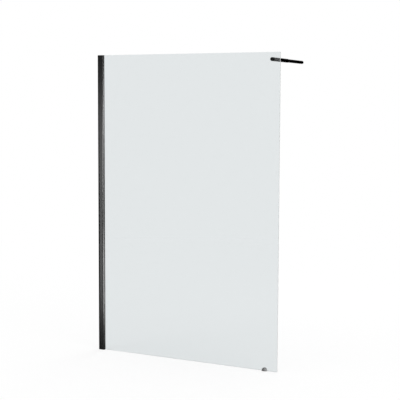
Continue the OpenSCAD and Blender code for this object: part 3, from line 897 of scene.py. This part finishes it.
outerTube = ringPiece("armOuterTube", arm["tubeRadius"], arm["tubeBore"], arm["tubeStart"], arm["tubeEnd"],
                      arm["edge"], segments=96)
lockHole = ("Z", arm["smallHole"], (arm["x"], arm["lockScrewY"], arm["z"] - arm["tubeBore"]), 12 * mm)
drill(outerTube, *lockHole)
dress(outerTube, "panel", "black_metal", "arm_outer_tube")

end = arm["tubeEnd"]
rim = arm["tubeRadius"]
onRod = arm["rodRadius"] + arm["slip"]  # what the rod slides in
bush = turnedPiece("mouthBush", [
    *measured(end, (onRod, -23.6), (onRod + 0.2 * mm, -24), (inTube, -23.4), (inTube, -0.02),
              (rim - 0.4 * mm, 0), (rim, 0.3), (rim, 1.4)),
    *arc((rim - 0.8 * mm, end + 1.7 * mm), 0.8 * mm, 0, 90, 6),
    *measured(end, (onRod + 0.4 * mm, 2.5), (onRod, 2.1), (onRod, -6), (onRod + 0.15 * mm, -6.4),
              (onRod + 0.15 * mm, -9.4), (onRod, -9.8)),
], axis, segments=96, hollow=True)
drill(bush, *lockHole)
dress(bush, "panel", "black_plastic", "mouth_bush")

smallScrew = {"Radius": 2 * mm, "Pitch": 0.7 * mm, "Thread": 0.3 * mm, "Key Radius": 1.15 * mm}
screwRow("lockScrew", "grubDown", "panel", "lock_screw", {
    **smallScrew, "Length": 1.45 * mm, "Chamfer": 0.2 * mm, "Key Depth": 0.7 * mm,
    "First": (arm["x"], arm["lockScrewY"], arm["z"] - onRod)})
print("outer tube done")

innerRod = ringPiece("armInnerRod", arm["rodRadius"], arm["rodBore"], arm["rodStart"], arm["reach"],
                     0.3 * mm, segments=96)
drill(innerRod, "Z", arm["smallHole"], (arm["x"], arm["stubScrewY"], arm["z"] - arm["rodBore"]),
      depth=12 * mm)
dress(innerRod, "arm_rod", "black_metal", "arm_inner_rod")

inRod = arm["rodBore"] - arm["slip"]  # what is pushed into the rod's bore
waist = inTube - 0.35 * mm
dress(turnedPiece("rodGlidePlug", measured(
    arm["rodStart"], (0, -6), (inTube - 0.95 * mm, -6), (inTube, -5.4), (inTube, -4.4), (waist, -4.1),
    (waist, -3.7), (inTube, -3.4), (inTube, -2.4), (waist, -2.1), (waist, -1.7), (inTube, -1.4),
    (inTube, -0.3), (inTube - 0.3 * mm, 0), (inRod, 0), (inRod, 10.8), (inRod - 1.05 * mm, 12), (0, 12),
), axis), "arm_rod", "black_plastic", "rod_glide_plug")

stub = turnedPiece("wallStub", measured(
    arm["reach"], (2.5 * mm, -13), (4.75 * mm, -13), (4.75 * mm, -24.7), (5.05 * mm, -25),
    (inRod - 0.55 * mm, -25), (inRod, -24.3), (inRod, -15.5), (inRod - 0.45 * mm, -15.1),
    (inRod - 0.45 * mm, -13.4), (inRod, -13), (inRod, -0.25), (inRod - 0.25 * mm, 0), (2.8 * mm, 0),
    (2.5 * mm, -0.3),
), axis, hollow=True)
drill(stub, "Z", arm["smallHole"], (arm["x"], arm["stubScrewY"], arm["z"] - 9 * mm), depth=10 * mm)
dress(stub, "arm_rod", "steel", "wall_stub")
screwRow("stubGrubScrew", "grubDown", "arm_rod", "stub_grub_screw", {
    **smallScrew, "Length": 5.6 * mm, "Chamfer": 0.3 * mm, "Key Depth": 1.3 * mm,
    "First": (arm["x"], arm["stubScrewY"], arm["z"] - 4.9 * mm)})
print("rod done")

# floor clip
clip = {"columns": 40, "rows": 10, **inMm(
    x=1215, half=17, height=22, deep=9, faceRadius=49.67, slotHalf=4.9, base=1.6, edge=0.7, linerHalf=14,
    linerTop=19, liner=0.9, linerSoft=0.2, fit=0.01, screwRadius=2.25, headRadius=4.5, pinchRadius=2.5,
    pinchY=8, pinchZ=10, pinchStep=16, threadGap=0.05,
    cutHalf=30, cutTop=40,  # the blocks cut away for slot and pane reach past the clip
)}


def archBlock(name, half, foot, height, depthAt):  # round-topped block, its faces bowed by depthAt
    columns, rows = clip["columns"], clip["rows"]
    shoulder = height - half
    bm = bmesh.new()
    sides = []
    for side in (-1, 1):
        grid = []
        for i in range(columns + 1):
            x = -half * math.cos(math.pi * i / columns)
            top = shoulder + math.sqrt(max(half * half - x * x, 0.0))
            grid.append([bm.verts.new((clip["x"] + x, side * depthAt(x), foot + (top - foot) * j / rows))
                         for j in range(rows + 1)])
        for one, two in zip(grid, grid[1:]):
            for j in range(rows):
                bm.faces.new((one[j], two[j], two[j + 1], one[j + 1]))
        loop = [column[0] for column in grid] + grid[-1][1:] + [column[-1] for column in reversed(grid[:-1])]
        sides.append(loop + grid[0][-2:0:-1])
    for i in range(len(sides[0])):
        j = (i + 1) % len(sides[0])
        bm.faces.new((sides[0][i], sides[0][j], sides[1][j], sides[1][i]))
    return newPiece(name, bm)


def bowedFace(x):
    return clip["deep"] - clip["faceRadius"] + math.sqrt(clip["faceRadius"] ** 2 - x * x)


def cutAlong(name, half, foot):  # a block that runs through the clip along the glass
    return box(name, (clip["x"] - clip["cutHalf"], -half, foot),
               (clip["x"] + clip["cutHalf"], half, clip["cutTop"]))


floorClip = archBlock("floorClip", clip["half"], 0.0, clip["height"], bowedFace)
combine(floorClip, cutAlong("clipSlot", clip["slotHalf"], clip["base"]), "DIFFERENCE")
soften(floorClip, clip["edge"], segments=4, angle=55)
settle(floorClip)
drill(floorClip, "Z", clip["screwRadius"], (clip["x"], 0, 0), depth=10 * mm)
drill(floorClip, "Y", clip["pinchRadius"] + clip["threadGap"],
      (clip["x"] - clip["pinchStep"] / 2, clip["pinchY"], clip["pinchZ"]), depth=8 * mm,
      count=2, step=(clip["pinchStep"], 0, 0))
dress(floorClip, "fixings", "clip_metal", "floor_clip", angle=30)

liner = archBlock("clipLiner", clip["linerHalf"], clip["base"], clip["linerTop"],
                  lambda x: clip["slotHalf"] - clip["fit"])
combine(liner, cutAlong("paneSpace", screen["paneHalf"], clip["base"] + clip["liner"]), "DIFFERENCE")
drill(liner, "Z", clip["headRadius"], (clip["x"], 0, clip["base"] + 0.4 * mm), depth=1.8 * mm)
dress(soften(liner, clip["linerSoft"]), "fixings", "soft_liner", "clip_liner")
screwRow("clipPinchScrews", "grubY", "fixings", "clip_pinch_screws", {
    "Length": 2.95 * mm, "Radius": clip["pinchRadius"], "Pitch": 0.8 * mm, "Thread": 0.35 * mm,
    "Chamfer": 0.35 * mm, "Key Radius": 1.44 * mm, "Key Depth": 1.3 * mm, "Count": 2,
    "First": (clip["x"] - clip["pinchStep"] / 2, clip["slotHalf"], clip["pinchZ"]),
    "Step": (clip["pinchStep"], 0, 0)})
print("floor clip done")


# studio
studio = {
    "ambient": 0.62,  # world, as lighting
    "floorRadius": 30,
    "floorShade": 0.92,
    "speckle": 0.015, "grain": 220,
    "middle": (0.65, 0.2, 0),  # on the floor, where its shadow shows most
    "shadowShare": 0.28,  # how much of the floor's real shading shows near the screen
    "shadowReach": 1.7,
}


def seenDirectly(g):  # 1 where the camera, gloss or glass looks at the surroundings
    path = g.add("ShaderNodeLightPath")
    return g.clamp(path.out("Is Camera Ray") + path.out("Is Glossy Ray") + path.out("Is Transmission Ray"))


def buildWorld():
    world = bpy.data.worlds.new("paleStudio")
    bpy.context.scene.world = world
    world.use_nodes = True
    g = Graph(world.node_tree)
    shade = g.blend(seenDirectly(g), grey(studio["ambient"]), grey(1))
    sky = g.add("ShaderNodeBackground", inputs={"Color": shade, "Strength": 1.0})
    g.add("ShaderNodeOutputWorld", inputs={"Surface": sky})


def buildFloorFinish(g):
    spot = g.vectorMaths("SUBTRACT", g.place(), studio["middle"])
    away = g.vectorMaths("LENGTH", spot, take="Value") / studio["shadowReach"]
    near = g.maths("EXPONENT", 0 - away * away)
    speckle = g.noise(studio["grain"])
    low, high = (studio["floorShade"] * (1 + side * studio["speckle"]) for side in (-1, 1))
    lit = g.add("ShaderNodeBsdfDiffuse", inputs={"Color": g.blend(speckle, grey(low), grey(high))})
    paper = g.add("ShaderNodeEmission", inputs={"Color": grey(1), "Strength": 1.0})
    share = seenDirectly(g) * (1 - near * studio["shadowShare"])
    return g.add("ShaderNodeMixShader", inputs={0: share, 1: lit, 2: paper})


def buildFloor():
    mesh = bpy.data.meshes.new("floor")
    bm = bmesh.new()
    bmesh.ops.create_circle(bm, cap_ends=True, segments=96, radius=studio["floorRadius"])
    bm.to_mesh(mesh)
    bm.free()
    mesh.materials.append(newFinish("paleFloor", buildFloorFinish))
    linked("floor", mesh)


def ramp(g, share, width):  # smooth rise from 0 to 1 over the given width
    rise = g.clamp(share / width)
    return rise * rise * (3 - 2 * rise)


def addLamp(name, place, aim, size, power, soft=None, receivers=None):
    data = bpy.data.lights.new(name, "AREA")
    data.shape = "RECTANGLE"
    data.size, data.size_y = size
    data.energy = power
    if soft:
        data.use_nodes = True
        g = Graph(data.node_tree)
        across = g.split(g.add("ShaderNodeNewGeometry", take="Parametric"))
        side, lower, upper = soft
        low = across.out("Y")
        glow = ramp(g, across.out("X"), side) * ramp(g, 1 - across.out("X"), side)
        glow = glow * ramp(g, low, lower) * ramp(g, 1 - low, upper)
        colour = g.blend(glow, grey(0), grey(1))
        shine = g.add("ShaderNodeEmission", inputs={"Color": colour, "Strength": 1.0})
        g.add("ShaderNodeOutputLight", inputs={"Surface": shine})
    lamp = linked(name, data)
    direction = Vector(aim) - Vector(place)
    lamp.matrix_world = Matrix.Translation(place) @ direction.to_track_quat("-Z", "Y").to_matrix().to_4x4()
    lamp.visible_camera = False
    lamp.visible_transmission = False
    lamp.visible_glossy = soft is not None
    lamp.visible_diffuse = soft is None
    if receivers:  # lights nothing else
        lamp.light_linking.receiver_collection = receivers


def lightGroup(name, pieces):
    group = bpy.data.collections.new(name)
    for piece in pieces:
        group.objects.link(piece)
    return group


roomLamps = [  # name, place, aim, size, power
    ("keyBox", (-2.6, -4.2, 3.4), (0.65, 0, 0.9), (2.4, 2.4), 125),
    ("fillBox", (4.6, -2.2, 3.0), (0.65, 0, 0.9), (2.2, 2.2), 68),
    ("backBox", (0.6, 4.4, 3.2), (0.65, 0, 0.9), (2.6, 2.0), 90),
]
profileStrips = [  # for gloss alone; the last three are the faded shares of the sides, the bottom and the top
    ("faceStrip", (-0.24, -0.43, 1.0), (0.02, 0, 1.0), (0.30, 1.98), 80, (0.35, 0.16, 0.30)),
    ("noseHigh", (1.20, -0.84, 1.67), (0.04, 0, 1.64), (0.50, 0.80), 140, (0.3, 0.35, 0.5)),
    ("noseMiddle", (0.42, -1.12, 1.24), (0.04, 0, 1.27), (0.80, 1.10), 140, (0.4, 0.35, 0.35)),
    ("noseLow", (0.50, -0.54, 0.42), (0.04, 0, 0.50), (0.62, 0.90), 94, (0.35, 0.2, 0.4)),
    ("noseSide", (1.25, -0.40, 0.95), (0.04, 0, 0.98), (0.60, 1.9), 60, (0.3, 0.1, 0.1)),
    ("backStrip", (0.45, 1.5, 1.1), (0.02, 0, 1.0), (0.40, 1.9), 28, (0.35, 0.3, 0.3)),
]
# rakes across the clip
clipLamp = ("clipLamp", (1.95, -0.10, 0.30), (1.215, -0.009, 0.011), (0.35, 0.35), 62)

buildWorld()
buildFloor()
for lamp in roomLamps:
    addLamp(*lamp)
profileLit = lightGroup("profileLit", [glazingProfile])
for lamp in profileStrips:
    addLamp(*lamp, profileLit)
addLamp(*clipLamp, receivers=lightGroup("clipLit", [floorClip]))
print("studio ready:", len(roomLamps) + len(profileStrips) + 1, "lamps")


# camera
view = {
    "place": (3.400, -5.508, 1.699), "turn": 25.629, "tilt": -4.739, "roll": 0.230,
    "lens": 85.92, "shiftUp": -0.05,
}
cameraData = bpy.data.cameras.new("camera")
cameraData.lens = view["lens"]
cameraData.sensor_width = 36
cameraData.shift_y = view["shiftUp"]
camera = linked("camera", cameraData)
camera.matrix_world = (
    Matrix.Translation(view["place"])
    @ Matrix.Rotation(math.radians(view["turn"]), 4, "Z")
    @ Matrix.Rotation(math.radians(90 + view["tilt"]), 4, "X")
    @ Matrix.Rotation(math.radians(view["roll"]), 4, "Z")
)
bpy.context.scene.camera = camera
bpy.context.scene.view_settings.view_transform = "Standard"
